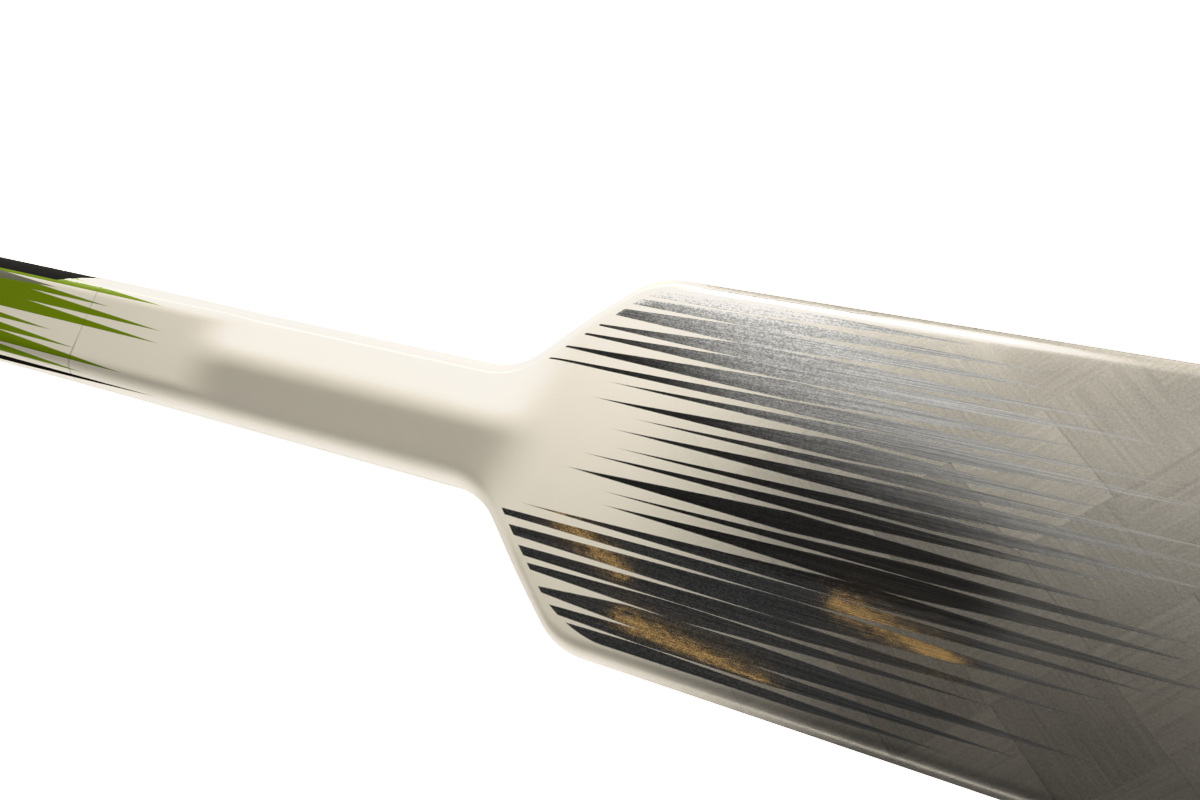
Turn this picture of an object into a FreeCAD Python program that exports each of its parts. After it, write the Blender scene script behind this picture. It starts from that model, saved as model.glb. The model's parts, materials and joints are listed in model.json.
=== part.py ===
"""Hockey goalie stick: a composite stick modelled piece by piece, lying on its back.

Frame, in millimetres: +X runs down the stick from the butt end to the heel, +Y points to the side
that the blade's toe is on, +Z points out of the front face. The origin is on the paddle's flat back,
on the shaft's centreline, at the throat where the shoulders start to widen.
"""
import FreeCAD, Part
import math
import os
from FreeCAD import Vector

# Overall sizes
SHAFT_WIDTH = 31.8
PADDLE_WIDTH = 88.0
THICKNESS = 20.5
SHAFT_LENGTH = 790.0
PADDLE_LENGTH = 660.0
BLADE_LENGTH = 390.0
BLADE_HEIGHT = 84.0
LIE_ANGLE = 112.0

# Laminate walls and edge rounding
SKIN = 1.6
SPAR_WALL = 1.2
SHAFT_EDGE_RADIUS = 7.0
PADDLE_EDGE_RADIUS = 4.5
BACK_DRESSING = 0.1

# Shoulders, where the shaft widens into the paddle
SHOULDER_LENGTH = 30.0
THROAT_RADIUS = 18.0
SHOULDER_RADIUS = 16.0
THROAT_START = -8.0

# Five-sided grip: two facets fall away from a soft ridge on the front face, a little off centre
GRIP_START = -100.0
GRIP_FULL_FROM = -73.0
GRIP_FULL_TO = 0.0
GRIP_END = 18.0
RIDGE_RISE = 1.5
FACET_DROP = 3.5
RIDGE_SOFTNESS = 3.8
RIDGE_OFFSET = 1.2
GRIP_STATIONS = 9
THROAT_STATIONS = 27

# Joint between the shaft tube and the grip
SEAM_X = -133.0
SLEEVE_REACH = 32.0
SLEEVE_WALL = 1.8
SLEEVE_PLUG_LENGTH = 30.0

# Butt end plug
PLUG_FLANGE = 7.0
PLUG_DOME_RADIUS = 3.0
PLUG_BODY_LENGTH = 48.0
PLUG_WALL = 2.0
PLUG_CLEARANCE = 0.6
PLUG_RIB_WIDTH = 2.0
PLUG_RIB_OFFSETS = (-7.0, 0.0, 7.0)

# Paddle spar and the joint with the blade
SPAR_WIDTH = 28.0
SPAR_START = 20.0
PLATE_START = 45.0
BLADE_JOINT_X = 540.0
TENON_LENGTH = 70.0

# Blade outline and curve
HEEL_RADIUS = 45.0
TOE_LOW_RADIUS = 40.0
TOE_HIGH_RADIUS = 26.0
TOE_SLANT = 8.0
CROTCH_RADIUS = 42.0
CURVE_START = 110.0
TOE_BACK_RISE = 22.0
TOE_THICKNESS = 12.0
HEEL_BLOCK_WIDTH = 26.0
HEEL_BLOCK_REACH = 104.0
KNEE_RADIUS = 12.0
ROOT_RADIUS = 4.0
RIB_THICKNESS = 2.0
BEAD_WIDTH = 4.0
BEAD_START = 600.0

# Derived values
HALF_SHAFT = SHAFT_WIDTH / 2
HALF_PADDLE = PADDLE_WIDTH / 2
PARTING_Z = THICKNESS / 2
SHOULDER_ANGLE = math.atan2(HALF_PADDLE - HALF_SHAFT, SHOULDER_LENGTH)
BLADE_TURN = math.radians(180.0 - LIE_ANGLE)
ALONG_BLADE = Vector(math.cos(BLADE_TURN), math.sin(BLADE_TURN), 0)
UP_BLADE = Vector(-math.sin(BLADE_TURN), math.cos(BLADE_TURN), 0)
HEEL = Vector(PADDLE_LENGTH, -HALF_PADDLE, 0)
UP = Vector(0, 0, 1)
FAR = 2000.0
EDGE_ON = 600.0
NECK_OVERRUN = 20.0
FLATNESS = 1e-6


def rounded_corner(before, at, after, radius):
    """The arc that rounds a corner between its two neighbours, or the bare corner if radius is 0."""
    if radius == 0:
        return at, None, at
    to_before = (before - at).normalize()
    to_after = (after - at).normalize()
    half_angle = to_before.getAngle(to_after) / 2
    reach = radius / math.tan(half_angle)
    inward = (to_before + to_after).normalize()
    middle = at + inward * (radius / math.sin(half_angle) - radius)
    start = at + to_before * reach
    end = at + to_after * reach
    return start, Part.Arc(start, middle, end).toShape(), end


def soft_corner(before, at, after, reach):
    """A soft crest over a shallow corner. It stays a straight edge where the corner is flat."""
    start = at + (before - at).normalize() * reach
    end = at + (after - at).normalize() * reach
    crest = Part.BezierCurve()
    crest.setPoles([start, at, end])
    return start, crest.toShape(), end


def closed_wire(corners):
    """Joins rounded corners with straight edges into one closed wire."""
    edges = []
    for (_, corner, end), (following, _, _) in zip(corners, corners[1:] + corners[:1]):
        if corner:
            edges.append(corner)
        edges.append(Part.LineSegment(end, following).toShape())
    return Part.Wire(edges)


def rounded_wire(points, radii):
    """A closed polygon whose corners have the given radii."""
    before = points[-1:] + points[:-1]
    after = points[1:] + points[:1]
    return closed_wire([rounded_corner(*corner) for corner in zip(before, points, after, radii)])


def solid_between(profile, direction):
    """The solid that a closed profile sweeps along a straight direction."""
    return Part.Face(profile).extrude(direction)


def box(low, high):
    """An upright box between two corners."""
    size = Vector(*high) - Vector(*low)
    return Part.makeBox(size.x, size.y, size.z, Vector(*low))


def bar(start, end, half_width, low, high, radius):
    """A straight rounded-rectangular bar along X."""
    corners = [(-half_width, low), (half_width, low), (half_width, high), (-half_width, high)]
    profile = rounded_wire([Vector(start, y, z) for y, z in corners], [radius] * 4)
    return solid_between(profile, Vector(end - start, 0, 0))


def smooth_step(x, start, end):
    """Rises from 0 at start to 1 at end with no kink at either."""
    share = min(1.0, max(0.0, (x - start) / (end - start)))
    return share ** 3 * (share * (6 * share - 15) + 10)


def half_width(x, inset):
    """Half the stick's width at a station, moved in from the outline by inset."""
    throat_x = -THROAT_RADIUS * math.tan(SHOULDER_ANGLE / 2)
    shoulder_x = SHOULDER_LENGTH + SHOULDER_RADIUS * math.tan(SHOULDER_ANGLE / 2)
    throat = THROAT_RADIUS + inset
    shoulder = SHOULDER_RADIUS - inset
    if x <= throat_x:
        return HALF_SHAFT - inset
    if x <= throat_x + throat * math.sin(SHOULDER_ANGLE):
        return HALF_SHAFT + THROAT_RADIUS - math.sqrt(throat ** 2 - (x - throat_x) ** 2)
    if x <= shoulder_x - shoulder * math.sin(SHOULDER_ANGLE):
        return HALF_SHAFT + x * math.tan(SHOULDER_ANGLE) - inset / math.cos(SHOULDER_ANGLE)
    if x <= shoulder_x:
        return HALF_PADDLE - SHOULDER_RADIUS + math.sqrt(shoulder ** 2 - (x - shoulder_x) ** 2)
    return HALF_PADDLE - inset


def grip_section(x, inset):
    """The stick's section across the grip and shoulders: flat back, two sides, two front facets."""
    facets = smooth_step(x, GRIP_START, GRIP_FULL_FROM) - smooth_step(x, GRIP_FULL_TO, GRIP_END)
    widening = smooth_step(x, 0, SHOULDER_LENGTH)
    radius = SHAFT_EDGE_RADIUS + (PADDLE_EDGE_RADIUS - SHAFT_EDGE_RADIUS) * widening - inset
    side = half_width(x, inset)
    back = inset - BACK_DRESSING
    front = THICKNESS - FACET_DROP * facets - inset
    ridge = Vector(x, RIDGE_OFFSET, THICKNESS + RIDGE_RISE * facets - inset)
    back_low, front_low = Vector(x, -side, back), Vector(x, -side, front)
    back_high, front_high = Vector(x, side, back), Vector(x, side, front)
    return closed_wire([
        rounded_corner(back_low, back_high, front_high, radius),
        rounded_corner(back_high, front_high, ridge, radius),
        soft_corner(front_high, ridge, front_low, RIDGE_SOFTNESS),
        rounded_corner(ridge, front_low, back_low, radius),
        rounded_corner(front_low, back_low, back_high, radius),
    ])


def grip_span(start, end, inset):
    """One straight length of the grip, all of one section."""
    return solid_between(grip_section(start, inset), Vector(end - start, 0, 0))


def grip_blend(start, end, count, inset):
    """One length of the grip whose section changes smoothly from end to end."""
    step = (end - start) / count
    return Part.makeLoft([grip_section(start + step * i, inset) for i in range(count + 1)], True, False)


def paddle_body(inset):
    """The grip, shoulders and paddle as one solid with its back dressed flat, moved in by inset."""
    moulding = grip_span(SEAM_X, GRIP_START, inset).multiFuse([
        grip_blend(GRIP_START, GRIP_FULL_FROM, GRIP_STATIONS, inset),
        grip_span(GRIP_FULL_FROM, THROAT_START, inset),
        grip_blend(THROAT_START, PLATE_START, THROAT_STATIONS, inset),
        grip_span(PLATE_START, BLADE_JOINT_X, inset),
    ])
    return moulding.common(box((-FAR, -FAR, inset), (FAR, FAR, FAR)))


def blade_point(along, up, z=0.0):
    """A point given along the blade from the heel, up from its bottom edge, and out from its back."""
    return HEEL + ALONG_BLADE * along + UP_BLADE * up + UP * z


def blade_plan(inset):
    """The face of the blade and its neck in plan, moved in from the outside by inset."""
    top = blade_point(0, BLADE_HEIGHT)
    crotch = top + ALONG_BLADE * ((HALF_PADDLE - top.y) / ALONG_BLADE.y)
    neck = BLADE_JOINT_X - NECK_OVERRUN
    outline = rounded_wire(
        [
            Vector(neck, -HALF_PADDLE, 0),
            HEEL,
            blade_point(BLADE_LENGTH - TOE_SLANT, 0),
            blade_point(BLADE_LENGTH, BLADE_HEIGHT),
            crotch,
            Vector(neck, HALF_PADDLE, 0),
        ],
        [0, HEEL_RADIUS, TOE_LOW_RADIUS, TOE_HIGH_RADIUS, CROTCH_RADIUS, 0],
    )
    face = Part.Face(outline)
    return face.makeOffset2D(-inset) if inset else face


def curve_radius(rise):
    """The radius of a curve that starts flat and has the given rise at the toe."""
    run = BLADE_LENGTH - CURVE_START
    return (run ** 2 + rise ** 2) / (2 * rise)


BACK_CURVE = curve_radius(TOE_BACK_RISE)
FRONT_CURVE = curve_radius(TOE_BACK_RISE + TOE_THICKNESS - THICKNESS)
PARTING_CURVE = curve_radius(TOE_BACK_RISE + TOE_THICKNESS / 2 - PARTING_Z)


def curved_side(level, radius):
    """One side of the blade seen edge on: flat along the heel, then an arc that runs past the toe."""
    def on_curve(run):
        return blade_point(CURVE_START + run, -EDGE_ON, level + radius - math.sqrt(radius ** 2 - run ** 2))

    run = BLADE_LENGTH - CURVE_START + NECK_OVERRUN
    flat = Part.LineSegment(blade_point(-EDGE_ON, -EDGE_ON, level), on_curve(0)).toShape()
    arc = Part.Arc(on_curve(0), on_curve(run / 2), on_curve(run)).toShape()
    return Part.Wire([flat, arc])


def curved_layer(low, low_radius, high, high_radius):
    """All that lies between two curved sides of the blade."""
    back = curved_side(low, low_radius)
    front = curved_side(high, high_radius)
    caps = [
        Part.LineSegment(back.OrderedVertexes[i].Point, front.OrderedVertexes[i].Point).toShape()
        for i in (0, -1)
    ]
    profile = Part.Wire(Part.__sortEdges__(back.Edges + front.Edges + caps))
    return solid_between(profile, UP_BLADE * (2 * EDGE_ON))


def is_upright(edge):
    """Whether an edge runs straight along the thickness."""
    return abs(edge.tangentAt(edge.FirstParameter).dot(UP)) > 1 - FLATNESS


def rim_edges(body):
    """The edges where the blade's side walls meet its front and back."""
    rim = []
    for face in body.Faces:
        low, high, start, end = face.ParameterRange
        upright = abs(face.normalAt((low + high) / 2, (start + end) / 2).z) < FLATNESS
        at_neck = face.BoundBox.XMax < BLADE_JOINT_X
        if not upright or at_neck:
            continue
        rim += [edge for edge in face.Edges if not is_upright(edge)]
    return rim


def blade_body(inset):
    """The blade and its neck as one solid, moved in from the outside by inset."""
    slab = curved_layer(inset, BACK_CURVE - inset, THICKNESS - inset, FRONT_CURVE + inset)
    body = slab.common(blade_plan(inset).extrude(UP * EDGE_ON))
    body = body.makeFillet(PADDLE_EDGE_RADIUS - inset, rim_edges(body))
    return body.common(beyond(BLADE_JOINT_X))


def beyond(x):
    """All that lies further down the stick than a station."""
    return box((x, -FAR, -FAR), (FAR, FAR, FAR))


def shaft_tube():
    """The plain rectangular tube above the grip."""
    outside = bar(-SHAFT_LENGTH, SEAM_X, HALF_SHAFT, 0, THICKNESS, SHAFT_EDGE_RADIUS)
    return outside.cut(shaft_bore(-SHAFT_LENGTH, SEAM_X))


def shaft_bore(start, end, gap=0.0):
    """The space inside the shaft tube, less a gap all round."""
    inset = SKIN + gap
    return bar(start, end, HALF_SHAFT - inset, inset, THICKNESS - inset, SHAFT_EDGE_RADIUS - inset)


def butt_end_plug():
    """The moulded plug: a domed flange, a hollow body and crush ribs that grip the tube."""
    end = -SHAFT_LENGTH
    flange = bar(end - PLUG_FLANGE, end, HALF_SHAFT, 0, THICKNESS, SHAFT_EDGE_RADIUS)
    cap = [edge for edge in flange.Edges if edge.BoundBox.XMax < end - PLUG_FLANGE / 2]
    flange = flange.makeFillet(PLUG_DOME_RADIUS, cap)
    body = shaft_bore(end, end + PLUG_BODY_LENGTH, PLUG_CLEARANCE)
    hollow = shaft_bore(end, end + PLUG_BODY_LENGTH, PLUG_CLEARANCE + PLUG_WALL)
    ribs = [
        box(
            (end, offset - PLUG_RIB_WIDTH / 2, SKIN),
            (end + PLUG_BODY_LENGTH - PLUG_RIB_WIDTH, offset + PLUG_RIB_WIDTH / 2, THICKNESS - SKIN),
        )
        for offset in PLUG_RIB_OFFSETS
    ]
    return flange.multiFuse([body] + ribs).cut(hollow).removeSplitter()


def joint_sleeve():
    """The box sleeve bonded inside the shaft tube and the grip, across the seam."""
    start, end = SEAM_X - SLEEVE_REACH, SEAM_X + SLEEVE_REACH
    return shaft_bore(start, end).cut(shaft_bore(start, end, SLEEVE_WALL))


def sleeve_foam_plug():
    """The foam stop that keeps resin out of the shaft while the paddle is moulded."""
    return shaft_bore(SEAM_X - SLEEVE_PLUG_LENGTH / 2, SEAM_X + SLEEVE_PLUG_LENGTH / 2, SLEEVE_WALL)


def spar_block(start, end, inset):
    """The spar's envelope, moved in by inset."""
    half = SPAR_WIDTH / 2 - inset
    low = SKIN + inset
    return box((start, -half, low), (end, half, THICKNESS - low))


def heel_block():
    """The solid knee that joins the spar to the blade: a tenon, a corner and a root along the blade."""
    half = HEEL_BLOCK_WIDTH / 2
    middle = BLADE_HEIGHT / 2

    def corner(side):
        foot = blade_point(0, middle + side)
        return foot + ALONG_BLADE * ((side - foot.y) / ALONG_BLADE.y)

    knee = rounded_wire(
        [
            Vector(BLADE_JOINT_X, -half, 0),
            corner(-half),
            blade_point(HEEL_BLOCK_REACH, middle - half),
            blade_point(HEEL_BLOCK_REACH, middle + half),
            corner(half),
            Vector(BLADE_JOINT_X, half, 0),
        ],
        [0, KNEE_RADIUS + half, ROOT_RADIUS, ROOT_RADIUS, KNEE_RADIUS, 0],
    )
    knee.translate(UP * SKIN)
    knee = solid_between(knee, UP * (THICKNESS - 2 * SKIN))
    return knee.fuse(spar_block(BLADE_JOINT_X - TENON_LENGTH, BLADE_JOINT_X, SPAR_WALL))


def blade_rib(inside):
    """The shear web along the middle of the blade, from the heel block to the toe."""
    low, high = (BLADE_HEIGHT / 2 + side * RIB_THICKNESS / 2 for side in (-1, 1))
    corners = [(HEEL_BLOCK_REACH, low), (EDGE_ON, low), (EDGE_ON, high), (HEEL_BLOCK_REACH, high)]
    web = Part.makePolygon([blade_point(*corner) for corner in corners + corners[:1]])
    return inside.common(solid_between(web, UP * EDGE_ON))


def blade_edge_bead(inside):
    """The tough strip just inside the heel, the bottom edge and the toe."""
    top = BLADE_HEIGHT / 2 - RIB_THICKNESS / 2
    corners = [(-EDGE_ON, -EDGE_ON), (EDGE_ON, -EDGE_ON), (EDGE_ON, top), (-EDGE_ON, top)]
    lower = Part.makePolygon([blade_point(*corner) for corner in corners + corners[:1]])
    strip = inside.cut(blade_plan(SKIN + BEAD_WIDTH).extrude(UP * EDGE_ON))
    return strip.common(solid_between(lower, UP * EDGE_ON)).common(beyond(BEAD_START))


def paddle_pieces():
    """The two shells of the paddle and what lies between them."""
    inside = paddle_body(SKIN)
    shell = paddle_body(0.0).cut(inside)
    front_half = box((-FAR, -FAR, PARTING_Z), (FAR, FAR, FAR))
    core_start = box((-FAR, -FAR, -FAR), (SEAM_X + SLEEVE_REACH, FAR, FAR))
    spar = spar_block(SPAR_START, BLADE_JOINT_X, 0.0)
    spar_slot = box((SPAR_START, -SPAR_WIDTH / 2, 0), (BLADE_JOINT_X, SPAR_WIDTH / 2, THICKNESS))
    lower, upper = by_side(inside.common(beyond(SPAR_START)).cut(spar_slot))
    return {
        "paddle_front_shell": shell.common(front_half),
        "paddle_back_shell": shell.cut(front_half),
        "grip_core": inside.cut(beyond(SPAR_START)).cut(core_start),
        "paddle_spar": spar.cut(spar_block(SPAR_START, BLADE_JOINT_X, SPAR_WALL)),
        "spar_core": spar_block(SPAR_START, BLADE_JOINT_X - TENON_LENGTH, SPAR_WALL),
        "paddle_core_upper": upper,
        "paddle_core_lower": lower,
    }


def blade_pieces():
    """The two skins of the blade and what lies between them."""
    inside = blade_body(SKIN)
    skin = blade_body(0.0).cut(inside)
    front_half = curved_layer(PARTING_Z, PARTING_CURVE, PARTING_Z + EDGE_ON, PARTING_CURVE)
    block = heel_block()
    rib = blade_rib(inside)
    bead = blade_edge_bead(inside)
    lower, upper = by_side(inside.cut(block).cut(rib).cut(bead))
    return {
        "heel_block": block,
        "blade_front_skin": skin.common(front_half),
        "blade_back_skin": skin.cut(front_half),
        "blade_core_upper": upper,
        "blade_core_lower": lower,
        "blade_rib": rib,
        "blade_edge_bead": bead,
    }


def by_side(pair):
    """The two solids of a split piece, the heel side first."""
    return sorted(pair.Solids, key=lambda solid: solid.CenterOfMass.dot(UP_BLADE))


def main():
    pieces = {
        "shaft_tube": shaft_tube(),
        "butt_end_plug": butt_end_plug(),
        "joint_sleeve": joint_sleeve(),
        "sleeve_foam_plug": sleeve_foam_plug(),
        **paddle_pieces(),
        **blade_pieces(),
    }
    os.makedirs("parts", exist_ok=True)
    for name, shape in pieces.items():
        if len(shape.Solids) != 1 or not shape.isValid():
            raise ValueError(f"{name} is not one sound solid")
        shape.Solids[0].exportStep(f"parts/{name}.step")


main()
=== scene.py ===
"""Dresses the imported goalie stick: painted laminate, foil streaks and cores, on a plain studio stage."""
import json
import math
from functools import partialmethod

import bpy
import numpy as np
from mathutils import Matrix, Vector
from mathutils.geometry import delaunay_2d_cdt


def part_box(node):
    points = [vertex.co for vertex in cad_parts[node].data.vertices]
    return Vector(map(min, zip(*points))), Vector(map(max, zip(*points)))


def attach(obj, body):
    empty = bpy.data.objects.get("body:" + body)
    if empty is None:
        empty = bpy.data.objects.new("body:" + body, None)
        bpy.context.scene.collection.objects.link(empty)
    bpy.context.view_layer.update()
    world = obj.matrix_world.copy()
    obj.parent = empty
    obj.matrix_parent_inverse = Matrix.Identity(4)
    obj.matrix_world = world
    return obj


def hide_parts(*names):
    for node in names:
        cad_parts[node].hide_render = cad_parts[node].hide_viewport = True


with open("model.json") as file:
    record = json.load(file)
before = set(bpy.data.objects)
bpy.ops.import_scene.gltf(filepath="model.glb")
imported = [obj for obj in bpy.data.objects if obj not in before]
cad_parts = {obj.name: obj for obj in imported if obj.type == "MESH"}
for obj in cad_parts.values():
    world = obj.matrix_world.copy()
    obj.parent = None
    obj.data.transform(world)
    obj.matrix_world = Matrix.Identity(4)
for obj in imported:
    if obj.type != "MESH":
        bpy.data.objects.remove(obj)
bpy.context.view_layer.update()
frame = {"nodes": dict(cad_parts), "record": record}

bl_info = {
    "name": "Goalie stick looks",
    "version": (1, 0, 0),
    "blender": (4, 5, 0),
    "location": "3D View > Sidebar > Goalie stick",
    "description": "Builds the painted shells, skins and fittings of a goalie stick around its solids",
    "category": "Object",
}

BODY = "root"
MM = 0.001

# Where the pieces meet, read from the solids
SHAFT_LOW, SHAFT_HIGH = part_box("shaft_tube")
PADDLE_LOW, PADDLE_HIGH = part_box("paddle_back_shell")
PLUG_LOW, PLUG_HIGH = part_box("butt_end_plug")

# Places along the stick, as in the solids
GRIP_START, GRIP_FULL_FROM = -0.100, -0.073
GRIP_FULL_TO, GRIP_END = 0.0, 0.018
THROAT_START = -0.008
PLATE_START = 0.045

# How finely the surfaces are divided
ARC_STEPS = 12
FACE_STEPS = 10
CREST_STEPS = 9
WALL_STEPS = 3
NECK_STEPS = 12
SHAFT_RINGS = 40
FACE_PITCH = 0.007
BORDER_GAP = FACE_PITCH * 0.6
LEAST_RADIUS = 0.0005
SHARP_ANGLE = math.radians(32.0)

# How many sections each stretch of the paddle has: to the grip, into it, along it, the throat, the plate
PADDLE_SECTIONS = (8, 26, 20, 84, 30)

# The end plug's dish from its middle out: share of its depth, and how far in from the plug's side
PLUG_DISH = ((1.0, 0.0072), (1.0, 0.0060), (0.6, 0.0054), (0.0, 0.0050))
PLUG_FIT = 0.0006
PLUG_LEAD_LENGTH, PLUG_LEAD_INSET = 0.002, 0.001


def length(name, description, default):
    """A size that a user can change."""
    return bpy.props.FloatProperty(
        name=name, description=description, default=default, min=0.0, unit="LENGTH", precision=4
    )


def colour(name, description, default):
    """A colour that a user can change."""
    return bpy.props.FloatVectorProperty(
        name=name, description=description, default=default, min=0.0, max=1.0, subtype="COLOR"
    )


class StickSizes(bpy.types.PropertyGroup):
    """Sizes of the painted surfaces."""

    shaft_width: length("Shaft width", "Across the shaft's front face", SHAFT_HIGH.y - SHAFT_LOW.y)
    paddle_width: length("Paddle width", "Across the paddle's front face", PADDLE_HIGH.y - PADDLE_LOW.y)
    thickness: length("Thickness", "From the flat back to the front", SHAFT_HIGH.z - SHAFT_LOW.z)
    skin: length("Skin", "Wall of the shells, skins and tube", 0.0016)
    shaft_edge: length("Shaft edge radius", "Rounding of the shaft's long edges", 0.007)
    paddle_edge: length("Paddle edge radius", "Rounding of the paddle's and blade's edges", 0.0045)
    shoulder_length: length("Shoulder length", "Along the stick, from throat to full width", 0.030)
    throat_radius: length("Throat radius", "Inside curve where the shaft starts to widen", 0.018)
    shoulder_radius: length("Shoulder radius", "Outside curve at the top of the paddle", 0.016)
    ridge_rise: length("Ridge rise", "Height of the grip's ridge over the flat face", 0.0015)
    facet_drop: length("Facet drop", "How far the grip's facets fall at the sides", 0.0035)
    ridge_softness: length("Ridge softness", "How far the ridge's rounding reaches", 0.0038)
    ridge_offset: length("Ridge offset", "How far the ridge lies to the toe side of the middle", 0.0012)
    joint_bevel: length("Joint bevel", "Bevel along the seams between pieces", 0.00012)
    blade_length: length("Blade length", "From the heel to the toe", 0.390)
    blade_height: length("Blade height", "From the bottom edge to the top edge", 0.084)
    lie_angle: bpy.props.FloatProperty(
        name="Lie", description="Angle between the blade and the shaft",
        default=math.radians(112.0), subtype="ANGLE",
    )
    paddle_length: length("Paddle length", "From the throat to the heel", 0.660)
    curve_start: length("Curve start", "Where the blade starts to curve, from the heel", 0.110)
    toe_rise: length("Toe rise", "How far the toe's back stands off the floor", 0.022)
    toe_thickness: length("Toe thickness", "Thickness of the blade at the toe", 0.012)
    heel_radius: length("Heel radius", "Round of the heel", 0.045)
    toe_low_radius: length("Lower toe radius", "Round of the toe at the bottom edge", 0.040)
    toe_high_radius: length("Upper toe radius", "Round of the toe at the top edge", 0.026)
    toe_slant: length("Toe slant", "How much shorter the bottom edge is", 0.008)
    crotch_radius: length("Crotch radius", "Curve between the paddle and the blade's top edge", 0.042)
    plug_dome: length("Plug dome", "Rounding of the end plug's rim", 0.003)
    plug_recess: length("Plug recess", "Depth of the dish in the end plug", 0.0008)


class StickColours(bpy.types.PropertyGroup):
    """Colours of the finishes, in linear light."""

    gel_coat: colour("Gel coat", "Warm white of the laminate", (0.80, 0.755, 0.645))
    foil: colour("Foil", "Dark foil of the paddle's streaks", (0.74, 0.74, 0.725))
    graphite: colour("Graphite", "Grey fibre field of the paddle", (0.51, 0.48, 0.42))
    lime: colour("Lime", "Lime streaks of the shaft", (0.152, 0.232, 0.001))
    black: colour("Black", "Black of the upper shaft", (0.003, 0.0025, 0.002))
    ash: colour("Ash", "Grey wedge beside the lime streaks", (0.16, 0.16, 0.12))
    foam: colour("Foam", "Core foam", (0.70, 0.60, 0.36))
    wood: colour("Wood", "Heel block", (0.42, 0.25, 0.12))
    carbon: colour("Carbon", "Bare carbon of the inner laminates", (0.018, 0.018, 0.020))
    rubber: colour("Rubber", "Edge strip and end plug", (0.022, 0.022, 0.023))
    floor: colour("Floor", "Studio floor", (0.90, 0.89, 0.87))
    card: colour("Card", "Glow of the cards and the wall", (1.0, 0.95, 0.87))
    panel: colour("Panel", "Glow of the panel above", (1.0, 0.98, 0.945))


def sizes():
    """The sizes in use."""
    return bpy.context.scene.stick_sizes


def colours():
    """The colours in use, as colours with an alpha."""
    group = bpy.context.scene.stick_colours
    return {name: (*getattr(group, name), 1.0) for name in StickColours.__annotations__}


# Shader maths

class Signal:
    """A shader socket that Python expressions can use. An operation on values adds a Math node."""

    def __init__(self, shader, socket):
        self.shader = shader
        self.socket = socket

    def maths(self, operation, *others):
        """A Math node on this value and any others."""
        return self.shader.node("Math", {"operation": operation}, dict(enumerate((self, *others))))

    def reflected(self, operation, other):
        """A Math node on another value and this one."""
        return self.shader.node("Math", {"operation": operation}, {0: other, 1: self})

    __add__ = __radd__ = partialmethod(maths, "ADD")
    __sub__ = partialmethod(maths, "SUBTRACT")
    __rsub__ = partialmethod(reflected, "SUBTRACT")
    __mul__ = __rmul__ = partialmethod(maths, "MULTIPLY")
    __truediv__ = partialmethod(maths, "DIVIDE")
    __rtruediv__ = partialmethod(reflected, "DIVIDE")
    __neg__ = partialmethod(maths, "MULTIPLY", -1.0)
    __abs__ = partialmethod(maths, "ABSOLUTE")
    __gt__ = partialmethod(maths, "GREATER_THAN")
    __lt__ = partialmethod(maths, "LESS_THAN")
    floor = partialmethod(maths, "FLOOR")
    fraction = partialmethod(maths, "FRACT")
    least = partialmethod(maths, "MINIMUM")
    most = partialmethod(maths, "MAXIMUM")
    root = partialmethod(maths, "SQRT")
    sine = partialmethod(maths, "SINE")

    def between(self, low, high, smooth=True):
        """0 at low, 1 at high, and a ramp between them."""
        kind = "SMOOTHSTEP" if smooth else "LINEAR"
        ends = {"Value": self, "From Min": low, "From Max": high}
        return self.shader.node("MapRange", {"interpolation_type": kind}, ends)

    def edged(self, softness):
        """1 where the value is over 0, with a narrow edge."""
        return self.between(-softness, softness, smooth=False)

    def chance(self):
        """A steady random share for each whole number."""
        return self.shader.node("TexWhiteNoise", {"noise_dimensions": "1D"}, {"W": self})

    def spread(self, low, high):
        """A share from 0 to 1 spread over a range."""
        return self * (high - low) + low


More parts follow.
